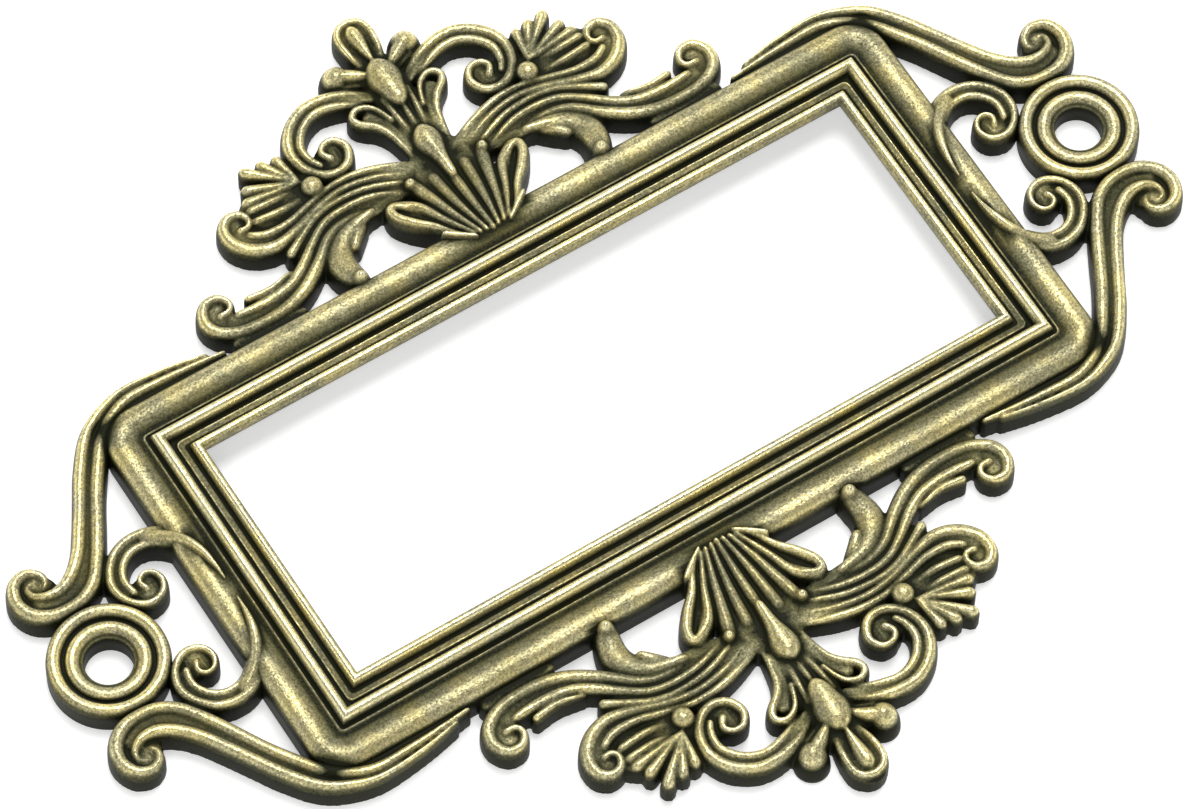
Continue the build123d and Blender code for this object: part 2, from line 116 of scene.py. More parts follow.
# Corner scroll, measured from the eyelet: points are x, y, width
cornerScroll = {
    "crowns": [2.2] * 9 + [1.95, 1.75],    # along each ridge, lower in the volute
    "webCrown": 1.85,
    "frameSide": [
        (-16.5, 14.2, 0.4), (-14.5, 14.4, 0.6), (-12.5, 14.55, 0.8), (-10.0, 14.6, 1.0), (-8.3, 13.95, 1.1),
        (-6.95, 12.8, 1.1), (-6.0, 11.5, 1.1), (-5.0, 9.98, 1.1), (-4.0, 8.2, 1.1), (-3.0, 6.5, 1.1),
        (-2.0, 5.1, 1.1), (-1.0, 4.4, 1.1), (0.1, 4.15, 1.1), (1.4, 4.3, 1.15), (2.4, 5.0, 1.15),
        (2.8, 6.1, 1.1), (2.4, 7.2, 1.0), (1.5, 7.6, 0.9), (0.75, 7.25, 0.75), (0.55, 6.65, 0.6),
        (0.85, 6.25, 0.4)],
    "outerSide": [
        (-15.5, 14.6, 0.3), (-13.0, 15.05, 0.45), (-10.0, 15.25, 0.6), (-8.0, 14.7, 0.85), (-6.4, 13.7, 1.0),
        (-5.0, 11.9, 1.05), (-4.0, 10.25, 1.05), (-3.0, 8.6, 1.05), (-2.0, 7.1, 1.05), (-1.0, 6.1, 1.05),
        (0.0, 5.55, 1.05), (1.0, 5.55, 0.85), (1.7, 6.0, 0.65), (1.8, 6.65, 0.5), (1.4, 6.85, 0.4)],
    "web": [
        (-16.5, 14.0, 0.4), (-13.0, 14.3, 1.1), (-10.0, 14.5, 1.5), (-8.5, 13.8, 1.5), (-6.3, 12.4, 1.3),
        (-5.0, 10.9, 1.2), (-3.0, 7.5, 1.2), (-1.4, 5.6, 1.2), (0.2, 5.0, 1.2), (1.4, 5.6, 1.4)],
    "pads": [(1.4, 6.05, 1.35, 1.7)],    # flat eye of the volute: x, y, radius, height
}

# Inner scroll, measured from the eyelet: a broad leaf on the moulding that parts into two ridges round an eye
innerScroll = {
    "leafCrowns": [2.7, 2.85, 3.0, 2.9, 2.5, 2.1],    # highest where it laps the moulding
    "outerCrowns": [2.3] + [2.05] * 6,
    "innerCrowns": [2.2] + [2.05] * 4,
    "webCrown": 1.8,
    "leaf": [(-8.55, 0.7, 0.2), (-8.5, 1.7, 0.5), (-8.3, 2.9, 0.8), (-7.85, 4.1, 1.05), (-7.1, 5.15, 1.3),
             (-6.1, 5.85, 1.3)],
    "outerSide": [
        (-7.9, 4.9, 0.6), (-6.9, 5.9, 0.8), (-5.4, 6.35, 0.85), (-4.0, 6.0, 0.85), (-3.0, 5.0, 0.85),
        (-2.65, 3.8, 0.8), (-3.1, 2.6, 0.75), (-4.1, 1.95, 0.7), (-5.1, 2.2, 0.65), (-5.5, 3.0, 0.6),
        (-5.2, 3.7, 0.5), (-4.6, 3.85, 0.45), (-4.2, 3.4, 0.5), (-4.4, 2.95, 0.6)],
    "innerSide": [
        (-7.0, 4.6, 0.5), (-6.1, 5.4, 0.7), (-4.9, 5.55, 0.75), (-3.95, 5.0, 0.75), (-3.45, 4.0, 0.7),
        (-3.6, 3.1, 0.65)],
    "web": [(-7.7, 3.6, 0.6), (-6.7, 5.2, 0.9), (-5.4, 5.9, 0.9), (-4.0, 5.5, 0.9), (-3.1, 4.5, 0.9),
            (-3.2, 3.2, 0.9)],
    "pads": [(-4.35, 2.95, 0.95, 1.72)],    # flat eye: x, y, radius, height
}

# Leaf crest, measured from the middle of the frame's long edge: points are x, y, width
crest = {
    "webCrown": 1.72,
    "ridgeCrowns": [1.62] + [2.0] * 5,    # each ridge rises out of the web
    "fanCrowns": [2.9, 2.4, 2.0],    # highest where the fan laps the moulding
    "fanWebCrowns": [2.55, 2.1, 1.85, 1.72],
    "pawCrowns": [2.0, 2.0, 2.0, 2.2, 2.6],
    "lowLobeCrown": 2.95,
    "shellCrown": 2.0,
    "swell": 1.25,    # width of the ridges and of the fan's ribs, over the widths drawn
    "fanSwell": 1.5,
    "ridges": [
        # curl beside the finial
        [(1.2, 11.3, 0.4), (2.0, 11.75, 0.6), (2.9, 12.2, 0.75), (4.4, 12.55, 0.8), (5.8, 12.4, 0.8),
         (7.1, 11.5, 0.8), (7.75, 10.2, 0.8), (7.6, 8.9, 0.78), (6.9, 7.9, 0.75), (5.9, 7.5, 0.7),
         (4.95, 7.85, 0.65), (4.5, 8.8, 0.6), (4.95, 9.6, 0.5), (5.7, 9.65, 0.45), (6.1, 9.1, 0.5),
         (5.8, 8.65, 0.6)],
        [(2.0, 10.9, 0.35), (3.5, 11.6, 0.6), (4.9, 11.85, 0.65), (6.2, 11.3, 0.65), (7.0, 10.2, 0.65),
         (6.95, 9.1, 0.6), (6.6, 8.5, 0.45)],
        # upper branch
        [(1.6, 4.9, 0.3), (2.6, 5.4, 0.45), (4.2, 6.0, 0.55), (6.2, 6.3, 0.6), (8.2, 6.0, 0.7),
         (10.0, 5.4, 0.85), (11.7, 5.05, 0.9), (13.1, 5.5, 0.95), (14.0, 6.5, 0.9), (14.1, 7.6, 0.8),
         (13.5, 8.25, 0.7), (12.75, 8.15, 0.6), (12.4, 7.55, 0.5), (12.7, 7.05, 0.45), (13.15, 7.1, 0.5)],
        [(1.9, 5.9, 0.4), (3.4, 6.4, 0.6), (5.0, 6.8, 0.6), (6.8, 6.85, 0.55), (8.6, 6.45, 0.6),
         (10.4, 6.0, 0.65), (12.0, 6.05, 0.7), (12.8, 6.5, 0.5)],
        # barb between the branches
        [(2.6, 4.6, 0.3), (3.2, 4.9, 0.4), (5.0, 5.55, 0.55), (7.0, 5.75, 0.55), (8.6, 5.5, 0.6),
         (10.0, 4.85, 0.65), (11.3, 4.1, 0.7)],
        # lower branch
        [(3.0, 4.1, 0.3), (3.6, 4.4, 0.4), (5.2, 4.95, 0.55), (7.0, 5.1, 0.6), (8.6, 4.8, 0.7),
         (10.0, 3.9, 0.75), (11.2, 2.95, 0.8), (12.5, 2.25, 0.8), (14.0, 2.0, 0.8), (15.4, 2.0, 0.7),
         (16.3, 2.1, 0.5)],
        [(4.4, 3.95, 0.35), (6.0, 4.3, 0.5), (7.6, 4.3, 0.65), (8.9, 3.8, 0.8), (10.2, 2.7, 0.9),
         (11.8, 1.6, 0.95), (13.4, 1.0, 0.95), (15.2, 0.85, 0.9), (16.8, 1.05, 0.9), (18.0, 1.75, 0.85),
         (18.35, 2.8, 0.8), (17.8, 3.75, 0.7), (16.9, 3.8, 0.6), (16.4, 3.15, 0.5), (16.7, 2.6, 0.45),
         (17.25, 2.6, 0.5)],
        [(12.0, 3.0, 0.25), (12.4, 2.9, 0.3), (13.8, 2.6, 0.5), (15.2, 2.75, 0.55)],
        # side leaf, a ridge that loops round its tip
        [(1.35, 6.2, 0.4), (1.65, 8.0, 0.55), (2.2, 9.0, 0.6), (3.0, 9.7, 0.6), (3.2, 10.3, 0.55),
         (2.7, 10.7, 0.5), (2.0, 10.5, 0.45), (1.5, 9.9, 0.4), (1.15, 8.9, 0.35)],
        # fingers under the pear
        [(0.0, 7.4, 0.35), (0.0, 8.8, 0.5), (0.0, 10.4, 0.6)],
        [(0.5, 7.3, 0.3), (0.72, 8.8, 0.5), (0.85, 10.4, 0.55)],
        # inner lobe of the paw
        [(6.5, 3.5, 0.5), (7.2, 3.05, 0.75), (7.7, 2.5, 0.6)],
        # long ribs of the shell
        [(8.8, 7.9, 0.4), (10.3, 7.85, 0.6), (11.9, 7.95, 0.65)],
        [(8.8, 7.1, 0.4), (10.3, 7.0, 0.6), (12.0, 7.15, 0.6)],
        # rim of the finial
        [(0.75, 13.2, 0.45), (1.0, 14.3, 0.5), (1.05, 15.5, 0.55), (0.66, 16.2, 0.55), (0.0, 16.4, 0.55)]],
    "fan": [
        [(0.0, -1.3, 0.3), (0.0, -0.4, 0.5), (0.0, 1.0, 0.62), (0.0, 3.0, 0.7), (0.0, 5.0, 0.7)],
        [(0.42, -1.2, 0.28), (0.72, 0.4, 0.5), (0.97, 2.2, 0.72), (1.1, 3.9, 0.8)],
        [(0.85, -1.15, 0.28), (1.5, 0.8, 0.55), (2.05, 2.8, 0.75), (2.45, 4.2, 0.75)],
        [(1.25, -1.05, 0.28), (2.2, 0.8, 0.5), (3.1, 2.7, 0.65), (4.3, 3.5, 0.65)],
        [(1.65, -1.0, 0.3), (2.3, -0.3, 0.4), (3.0, 0.75, 0.5), (3.9, 1.7, 0.6), (4.6, 2.7, 0.6),
         (4.6, 3.4, 0.55), (4.0, 3.3, 0.5), (3.2, 2.4, 0.4), (2.6, 1.3, 0.35)]],
    "fanWebs": [
        [(0.0, -0.9, 2.4), (0.0, 0.5, 4.0), (0.0, 2.5, 5.0), (0.0, 4.2, 5.2)],
        [(2.0, 0.3, 1.2), (3.2, 1.8, 1.4), (4.2, 2.9, 1.2)]],
    "lowLobe": [(1.2, -1.35, 0.3), (1.9, -0.85, 0.6), (2.5, -0.4, 0.6), (2.9, -0.1, 0.35)],
    "paw": [(5.6, 4.0, 0.6), (7.5, 3.6, 1.5), (8.7, 2.7, 2.2), (9.05, 1.5, 2.1), (8.75, 0.3, 1.5)],
    "leaves": [
        # stalk of the bud beside the finial, inner drop of the finial, pear and bud of the stem
        [(0.9, 12.4, 0.7), (1.7, 12.95, 1.2), (2.3, 13.3, 1.3)],
        [(0.0, 13.0, 0.3), (0.0, 14.2, 1.0), (0.0, 15.2, 1.4), (0.0, 15.5, 1.25)],
        [(0.0, 10.1, 1.5), (0.0, 10.8, 2.2), (0.0, 11.5, 2.6), (0.0, 11.9, 2.5)],
        [(0.0, 3.6, 0.8), (0.0, 4.8, 1.2), (0.0, 5.8, 1.85), (0.0, 6.4, 2.1), (0.0, 6.7, 1.9)]],
    "leafCrowns": [2.2, 2.2, 2.65, 2.55],
    # flat eyes of the curl and of the two branches: x, y, radius, height
    "pads": [(5.75, 8.75, 1.0, 1.65), (13.2, 7.2, 1.0, 1.65), (17.35, 2.6, 1.05, 1.65)],
    # foot of the paw, bud beside the finial, knob of the fan: x, y, radius, height
    "domes": [(8.72, 0.1, 0.78, 3.0), (2.5, 13.4, 1.15, 2.3), (2.6, 4.3, 0.6, 2.5)],
    "shellRoot": (8.35, 8.1),
    "shellWidths": (0.3, 0.75, 1.05),    # of each rib, from root to tip
    "shellTips": [(8.75, 10.1), (9.7, 10.3), (10.8, 10.45), (11.3, 9.3), (11.7, 8.55)],
    "ball": (7.86, 7.4),
    "ballRadius": 0.72,
    "webs": [
        [(1.4, 4.9, 1.8), (3.2, 5.2, 2.4), (5.0, 5.6, 3.0), (7.0, 5.7, 2.6), (8.8, 5.2, 2.6),
         (10.2, 4.6, 1.8)],
        [(8.0, 7.4, 1.8), (9.6, 7.8, 2.8), (11.4, 7.6, 2.8)],
        [(9.6, 5.9, 1.2), (11.2, 5.6, 1.1), (12.6, 6.1, 1.1), (13.3, 7.0, 1.0)],
        [(9.6, 4.0, 1.6), (11.0, 2.6, 1.5), (12.4, 1.9, 1.5), (14.0, 1.7, 1.8), (15.6, 1.5, 1.6),
         (16.9, 1.9, 1.2)],
        [(12.7, 0.2, 0.6), (15.0, 0.3, 1.2), (17.3, 0.3, 0.9)],
        [(1.2, 6.6, 0.7), (1.6, 8.6, 0.8), (2.3, 9.9, 0.8)],
        [(1.4, 11.1, 0.9), (3.2, 11.9, 0.8), (5.0, 12.2, 0.8), (6.6, 11.4, 0.8), (7.35, 10.0, 0.8),
         (7.2, 8.8, 0.8)],
        [(2.6, 4.3, 0.9), (4.2, 4.1, 0.8), (6.6, 3.9, 0.8)],
        [(0.6, 12.2, 1.2), (1.5, 12.4, 0.8), (2.4, 12.7, 0.5)],
        [(0.0, 4.4, 2.8), (0.0, 8.0, 2.4), (0.0, 10.0, 2.8), (0.0, 12.6, 2.8)],
        [(0.0, 12.2, 1.8), (0.0, 14.0, 1.9), (0.0, 15.65, 2.4)]],
}

# Fineness of the cast surface, and the ends of the strokes
casting = {
    "strokeStep": 0.12,
    "tipWidth": 0.08,    # narrowest end of a stroke, as a share of its width
    "tipDip": 0.25,    # how far the crown drops there
    "padHalf": 0.05,    # a pad is a very short stroke
    "voxel": 0.08,
    "softening": 0.5,
    "smoothing": 3,
    "trianglesWanted": 165000,
}

# Three lists of strokes, one for each section: rows of x, y, half width, crown
strokes = {"ridge": [], "leaf": [], "web": []}


# Adds a stroke and lets its tips run on by half their width, where they are rounded
def addStroke(kind, origin, points, crowns, swell=1.0):
    rows = []
    for index, (x, y, width) in enumerate(points):
        place = index / (len(points) - 1) * (len(crowns) - 1)
        crownHere = np.interp(place, range(len(crowns)), crowns)
        rows.append([origin[0] + x, origin[1] + y, width * swell / 2, crownHere])
    for tip, inner in ((0, 1), (-1, -2)):
        away = Vector(rows[tip][:2]) - Vector(rows[inner][:2])
        moved = Vector(rows[tip][:2]) + away.normalized() * rows[tip][2]
        rows[tip][:2] = moved
    strokes[kind].append(rows)


atEyelet = (eyeletX, 0.0)
atCrest = (0.0, edgeY)
for side in ("frameSide", "outerSide"):
    addStroke("ridge", atEyelet, cornerScroll[side], cornerScroll["crowns"])
addStroke("web", atEyelet, cornerScroll["web"], [cornerScroll["webCrown"]])
addStroke("leaf", atEyelet, innerScroll["leaf"], innerScroll["leafCrowns"])
addStroke("ridge", atEyelet, innerScroll["outerSide"], innerScroll["outerCrowns"])
addStroke("ridge", atEyelet, innerScroll["innerSide"], innerScroll["innerCrowns"])
addStroke("web", atEyelet, innerScroll["web"], [innerScroll["webCrown"]])
for ridge in crest["ridges"]:
    addStroke("ridge", atCrest, ridge, crest["ridgeCrowns"], crest["swell"])
for rib in crest["fan"]:
    addStroke("ridge", atCrest, rib, crest["fanCrowns"], crest["fanSwell"])
addStroke("leaf", atCrest, crest["lowLobe"], [crest["lowLobeCrown"]])
root = crest["shellRoot"]
for tip in crest["shellTips"]:
    middle = ((root[0] + tip[0]) / 2, (root[1] + tip[1]) / 2)
    rib = [(*place, width) for place, width in zip((root, middle, tip), crest["shellWidths"])]
    addStroke("ridge", atCrest, rib, [crest["shellCrown"]])
addStroke("leaf", atCrest, crest["paw"], crest["pawCrowns"])
for leaf, crownHere in zip(crest["leaves"], crest["leafCrowns"]):
    addStroke("leaf", atCrest, leaf, [crownHere])
for web in crest["webs"]:
    addStroke("web", atCrest, web, [crest["webCrown"]])
for web in crest["fanWebs"]:
    addStroke("web", atCrest, web, crest["fanWebCrowns"])
for origin, piece in ((atEyelet, cornerScroll), (atEyelet, innerScroll), (atCrest, crest)):
    for x, y, radius, height in piece["pads"]:
        ends = [(x + step, y, 2 * radius) for step in (-casting["padHalf"], casting["padHalf"])]
        addStroke("web", origin, ends, [height])
print("strokes", {kind: len(rows) for kind, rows in strokes.items()})


# Lines of one kind of stroke, with half width and crown on each point
def strokeLines(kind):
    rows = strokes[kind]
    points = [(x, y, 0.0) for row in rows for x, y, half, crownHere in row]
    edges = []
    start = 0
    for row in rows:
        edges += [(start + i, start + i + 1) for i in range(len(row) - 1)]
        start += len(row)
    mesh = bpy.data.meshes.new(kind + "Lines")
    mesh.from_pydata(points, edges, [])
    for name, column in (("halfWidth", 2), ("crown", 3)):
        values = [point[column] for row in rows for point in row]
        mesh.attributes.new(name, "FLOAT", "POINT").data.foreach_set("value", values)
    return newObject(kind + "Lines", mesh)


# Closed outline of a section, across in X and up in Y
def sectionLoop(kind):
    half = sections[kind]
    loop = half + [(0.0, 1.0)] + [(-x, y) for x, y in reversed(half)]
    curve = bpy.data.curves.new(kind + "Section", "CURVE")
    curve.dimensions = "3D"
    spline = curve.splines.new("POLY")
    spline.points.add(len(loop) - 1)
    for point, (x, y) in zip(spline.points, loop):
        point.co = (x, y, 0.0, 1.0)
    spline.use_cyclic_u = True
    return newObject(kind + "Section", curve)


# Carves strokes: a smooth line carries the section, rounded at both tips, and is mirrored into four quarters
def carvingTree():
    tree = bpy.data.node_groups.new("carvedStrokes", "GeometryNodeTree")
    sockets = (("Lines", "NodeSocketGeometry", "INPUT"), ("Section", "NodeSocketObject", "INPUT"),
               ("Step", "NodeSocketFloat", "INPUT"), ("Material", "NodeSocketMaterial", "INPUT"),
               ("Carving", "NodeSocketGeometry", "OUTPUT"))
    for name, kind, way in sockets:
        tree.interface.new_socket(name, in_out=way, socket_type=kind)
    start = addNode(tree, "NodeGroupInput")
    line = addNode(tree, "GeometryNodeMeshToCurve", {"Mesh": start.outputs["Lines"]})
    line = addNode(tree, "GeometryNodeCurveSplineType", {"Curve": line.outputs[0]}, spline_type="CATMULL_ROM")
    line = addNode(tree, "GeometryNodeResampleCurve",
                   {"Curve": line.outputs[0], "Length": start.outputs["Step"]}, mode="LENGTH")
    line = addNode(tree, "GeometryNodeSetCurveNormal", {"Curve": line.outputs[0]}, mode="Z_UP")
    half = addNode(tree, "GeometryNodeInputNamedAttribute", {"Name": "halfWidth"}, data_type="FLOAT")
    crownHere = addNode(tree, "GeometryNodeInputNamedAttribute", {"Name": "crown"}, data_type="FLOAT")
    along = addNode(tree, "GeometryNodeSplineParameter")
    whole = addNode(tree, "GeometryNodeSplineLength")
    # distance to the nearer tip, as a share of half the width, then the round of the tip
    rest = addNode(tree, "ShaderNodeMath", {0: whole.outputs["Length"], 1: along.outputs["Length"]},
                   operation="SUBTRACT")
    near = addNode(tree, "ShaderNodeMath", {0: along.outputs["Length"], 1: rest.outputs[0]},
                   operation="MINIMUM")
    share = addNode(tree, "ShaderNodeMath", {0: near.outputs[0], 1: half.outputs[0]}, operation="DIVIDE",
                    use_clamp=True)
    gap = addNode(tree, "ShaderNodeMath", {0: 1.0, 1: share.outputs[0]}, operation="SUBTRACT")
    square = addNode(tree, "ShaderNodeMath", {0: gap.outputs[0], 1: gap.outputs[0]}, operation="MULTIPLY")
    fall = addNode(tree, "ShaderNodeMath", {0: 1.0, 1: square.outputs[0]}, operation="SUBTRACT",
                   use_clamp=True)
    tip = addNode(tree, "ShaderNodeMath", {0: fall.outputs[0]}, operation="SQRT")
    tip = addNode(tree, "ShaderNodeMath", {0: tip.outputs[0], 1: casting["tipWidth"]}, operation="MAXIMUM")
    radius = addNode(tree, "ShaderNodeMath", {0: tip.outputs[0], 1: half.outputs[0]}, operation="MULTIPLY")
    # the crown drops a little at the tips
    dip = addNode(tree, "ShaderNodeMath", {0: tip.outputs[0], 1: casting["tipDip"], 2: 1 - casting["tipDip"]},
                  operation="MULTIPLY_ADD")
    top = addNode(tree, "ShaderNodeMath", {0: crownHere.outputs[0], 1: dip.outputs[0]}, operation="MULTIPLY")
    lift = addNode(tree, "ShaderNodeMath", {0: top.outputs[0], 1: radius.outputs[0]}, operation="DIVIDE")
    line = addNode(tree, "GeometryNodeStoreNamedAttribute",
                   {"Geometry": line.outputs[0], "Name": "lift", "Value": lift.outputs[0]})
    line = addNode(tree, "GeometryNodeStoreNamedAttribute",
                   {"Geometry": line.outputs[0], "Name": "reach", "Value": radius.outputs[0]})
    outline = addNode(tree, "GeometryNodeObjectInfo", {"Object": start.outputs["Section"]})
    reach = addNode(tree, "GeometryNodeInputNamedAttribute", {"Name": "reach"}, data_type="FLOAT")
    solid = addNode(tree, "GeometryNodeCurveToMesh",
                    {"Curve": line.outputs[0], "Profile Curve": outline.outputs["Geometry"],
                     "Scale": reach.outputs[0], "Fill Caps": True})
    # the section came out as high as it is wide, so its height is set here
    place = addNode(tree, "GeometryNodeInputPosition")
    parts = addNode(tree, "ShaderNodeSeparateXYZ", {0: place.outputs[0]})
    up = addNode(tree, "ShaderNodeMath", {0: parts.outputs["Z"]}, operation="ABSOLUTE")
    stored = addNode(tree, "GeometryNodeInputNamedAttribute", {"Name": "lift"}, data_type="FLOAT")
    height = addNode(tree, "ShaderNodeMath", {0: up.outputs[0], 1: stored.outputs[0]}, operation="MULTIPLY")
    moved = addNode(tree, "ShaderNodeCombineXYZ",
                    {0: parts.outputs["X"], 1: parts.outputs["Y"], 2: height.outputs[0]})
    solid = addNode(tree, "GeometryNodeSetPosition",
                    {"Geometry": solid.outputs[0], "Position": moved.outputs[0]})
    for scale in ((-1.0, 1.0, 1.0), (1.0, -1.0, 1.0)):
        other = addNode(tree, "GeometryNodeTransform", {"Geometry": solid.outputs[0], "Scale": scale})
        other = addNode(tree, "GeometryNodeFlipFaces", {"Mesh": other.outputs[0]})
        both = addNode(tree, "GeometryNodeJoinGeometry", {0: solid.outputs[0]})
        tree.links.new(other.outputs[0], both.inputs[0])
        solid = both
    solid = addNode(tree, "GeometryNodeRealizeInstances", {"Geometry": solid.outputs[0]})
    solid = addNode(tree, "GeometryNodeSetMaterial",
                    {"Geometry": solid.outputs[0], "Material": start.outputs["Material"]})
    addNode(tree, "NodeGroupOutput", {"Carving": solid.outputs[0]})
    return tree


# Antique brass plate on cast zinc: dark oxide left in the hollows, bright rubbed brass on the ridges,
# a dry grain of fine specks between the two, with painted shade on the lower walls and sunken forms and
# painted highlight on raised ones
brass = {
    "grainMm": 0.09,    # grit of the plate, drawn as coarse as it needs to show
    "speckMm": 0.17,
    "patchMm": 2.6,
    "shares": {"speck": 1.3, "grain": 0.5, "patch": 0.55},    # how far each one moves the rubbing
    "rubGain": 2.7,
    "rubBase": 0.27,
    # the lift brightens raised forms and darkens sunken ones: rubbed wear, with painted shade and painted
    # highlight
    "liftWearShadeGain": 0.42,
    "wornFrom": 0.2,    # rubbing over which the specks come in
    "wornTo": 0.6,
    "hollowSpecks": 0.3,    # share of the specks that the hollows keep
    "tones": [(0.0, "222418"), (0.2, "59583e"), (0.4, "8f8b6c"), (0.55, "b8b088"), (0.7, "ddd4a2"),
              (0.85, "f9f0bc"), (1.0, "fffad6")],
    "gold": "fff3c0",
    "goldFrom": 0.4,
    "goldTo": 0.62,
    "goldMost": 0.5,
    "metallic": (0.0, 0.95),    # from oxide to bare plate
    "roughness": (0.45, 0.26),
    "oxideSheen": 0.05,
    "bump": 0.6,
    "bumpMm": 0.03,
}


def antiqueBrass():
    material = bpy.data.materials.new("antiqueBrassRubbed")
    material.use_nodes = True
    tree = material.node_tree
    tree.nodes.clear()
    coords = addNode(tree, "ShaderNodeTexCoord").outputs["Object"]
    # rub: oxide in the hollows, with painted shade low on the walls; lift: wear on raised forms, with painted
    # shade and painted highlight
    rub = addNode(tree, "ShaderNodeAttribute", attribute_name="rub")
    lift = addNode(tree, "ShaderNodeAttribute", attribute_name="lift")
    grain = addNode(tree, "ShaderNodeTexNoise",
                    {"Vector": coords, "Scale": 1 / (brass["grainMm"] * metresPerMm), "Detail": 1.0})
    speck = addNode(tree, "ShaderNodeTexNoise",
                    {"Vector": coords, "Scale": 1 / (brass["speckMm"] * metresPerMm), "Detail": 3.0,
                     "Roughness": 0.7})
    patch = addNode(tree, "ShaderNodeTexNoise",
                    {"Vector": coords, "Scale": 1 / (brass["patchMm"] * metresPerMm), "Detail": 2.0})
    # how far the plate is rubbed bright, 0 to 1, with painted shade on walls and sunken forms and painted
    # highlight on raised ones
    rubbedAndShaded = addNode(tree, "ShaderNodeMath",
                     {0: rub.outputs["Fac"], 1: brass["rubGain"], 2: brass["rubBase"]},
                     operation="MULTIPLY_ADD")
    rubbedAndShaded = addNode(tree, "ShaderNodeMath",
                     {0: lift.outputs["Fac"], 1: brass["liftWearShadeGain"], 2: rubbedAndShaded.outputs[0]},
                     operation="MULTIPLY_ADD")
    # specks where the plate is worn, a smoother skin in the hollows
    worn = addNode(tree, "ShaderNodeMapRange",
                   {"Value": rubbedAndShaded.outputs[0], "From Min": brass["wornFrom"], "From Max": brass["wornTo"],
                    "To Min": brass["hollowSpecks"]})
    for name, noise in (("speck", speck), ("grain", grain), ("patch", patch)):
        share = brass["shares"][name]
        mottle = addNode(tree, "ShaderNodeMath", {0: noise.outputs["Fac"], 1: share, 2: -share / 2},
                         operation="MULTIPLY_ADD")
        mottle = addNode(tree, "ShaderNodeMath", {0: mottle.outputs[0], 1: worn.outputs[0]},
                         operation="MULTIPLY")
        rubbedAndShaded = addNode(tree, "ShaderNodeMath", {0: rubbedAndShaded.outputs[0], 1: mottle.outputs[0]},
                         operation="ADD")
    rubbedAndShaded = addNode(tree, "ShaderNodeClamp", {"Value": rubbedAndShaded.outputs[0]})
    tone = addNode(tree, "ShaderNodeValToRGB", {"Fac": rubbedAndShaded.outputs[0]})
    ramp = tone.color_ramp
    while len(ramp.elements) < len(brass["tones"]):
        ramp.elements.new(0.5)
    for element, (place, hexText) in zip(ramp.elements, brass["tones"]):
        element.position = place
        element.color = colour(hexText)
    # warmer gold in broad patches, paler between them
    golden = addNode(tree, "ShaderNodeMapRange",
                     {"Value": patch.outputs["Fac"], "From Min": brass["goldFrom"],
                      "From Max": brass["goldTo"], "To Max": brass["goldMost"]})
    gilt = addNode(tree, "ShaderNodeMix",
                   {0: golden.outputs[0], 6: tone.outputs["Color"], 7: colour(brass["gold"])},
                   data_type="RGBA", blend_type="MULTIPLY")
    oxide, bare = brass["metallic"]
    metal = addNode(tree, "ShaderNodeMapRange", {"Value": rubbedAndShaded.outputs[0], "To Min": oxide, "To Max": bare})
    oxide, bare = brass["roughness"]
    dull = addNode(tree, "ShaderNodeMapRange", {"Value": rubbedAndShaded.outputs[0], "To Min": oxide, "To Max": bare})
    grit = addNode(tree, "ShaderNodeMath", {0: grain.outputs["Fac"], 1: speck.outputs["Fac"]},
                   operation="ADD")
    bump = addNode(tree, "ShaderNodeBump",
                   {"Strength": brass["bump"], "Distance": brass["bumpMm"] * metresPerMm,
                    "Height": grit.outputs[0]})
    plate = addNode(tree, "ShaderNodeBsdfPrincipled",
                    {"Base Color": gilt.outputs[2], "Metallic": metal.outputs[0],
                     "Roughness": dull.outputs[0], "Specular IOR Level": brass["oxideSheen"],
                     "Normal": bump.outputs[0]})
    addNode(tree, "ShaderNodeOutputMaterial", {"Surface": plate.outputs[0]})
    return material


antiqueBrassRubbed = antiqueBrass()
carving = carvingTree()
blank = bmesh.new()
inputIds = {item.name: item.identifier for item in carving.interface.items_tree if item.in_out == "INPUT"}
for kind in strokes:
    lines = strokeLines(kind)
    outline = sectionLoop(kind)
    modifier = lines.modifiers.new("carving", "NODES")
    modifier.node_group = carving
    modifier[inputIds["Section"]] = outline
    modifier[inputIds["Step"]] = casting["strokeStep"]
    modifier[inputIds["Material"]] = antiqueBrassRubbed
    carved = bpy.data.meshes.new_from_object(lines.evaluated_get(bpy.context.evaluated_depsgraph_get()))
    lines.modifiers.remove(modifier)
    blank.from_mesh(carved)
    print("carved", kind, len(carved.polygons))
    bpy.data.objects.remove(lines)
    bpy.data.objects.remove(outline)


# Round buds, an egg in each quarter: place, base, radius and height
egg = bmesh.new()
bmesh.ops.create_uvsphere(egg, u_segments=32, v_segments=24, radius=1.0)
eggMesh = bpy.data.meshes.new("egg")
egg.to_mesh(eggMesh)
egg.free()


def dome(x, y, base, radius, height):
    for sideX in (1, -1):
        for sideY in (1, -1):
            copy = eggMesh.copy()
            copy.transform(Matrix.Translation((sideX * x, sideY * y, base))
                           @ Matrix.Diagonal((radius, radius, height, 1.0)))
            blank.from_mesh(copy)
            bpy.data.meshes.remove(copy)


for x, y, radius, height in crest["domes"]:
    dome(x, edgeY + y, 0.0, radius, height)
dome(crest["ball"][0], edgeY + crest["ball"][1], crest["webCrown"], crest["ballRadius"], crest["ballRadius"])
bmesh.ops.recalc_face_normals(blank, faces=blank.faces)
blankMesh = bpy.data.meshes.new("castBlank")
blank.to_mesh(blankMesh)
blank.free()
print("blank", len(blankMesh.polygons))


def positions(mesh):
    values = np.empty(len(mesh.vertices) * 3)
    mesh.vertices.foreach_get("co", values)
    return values.reshape(-1, 3)


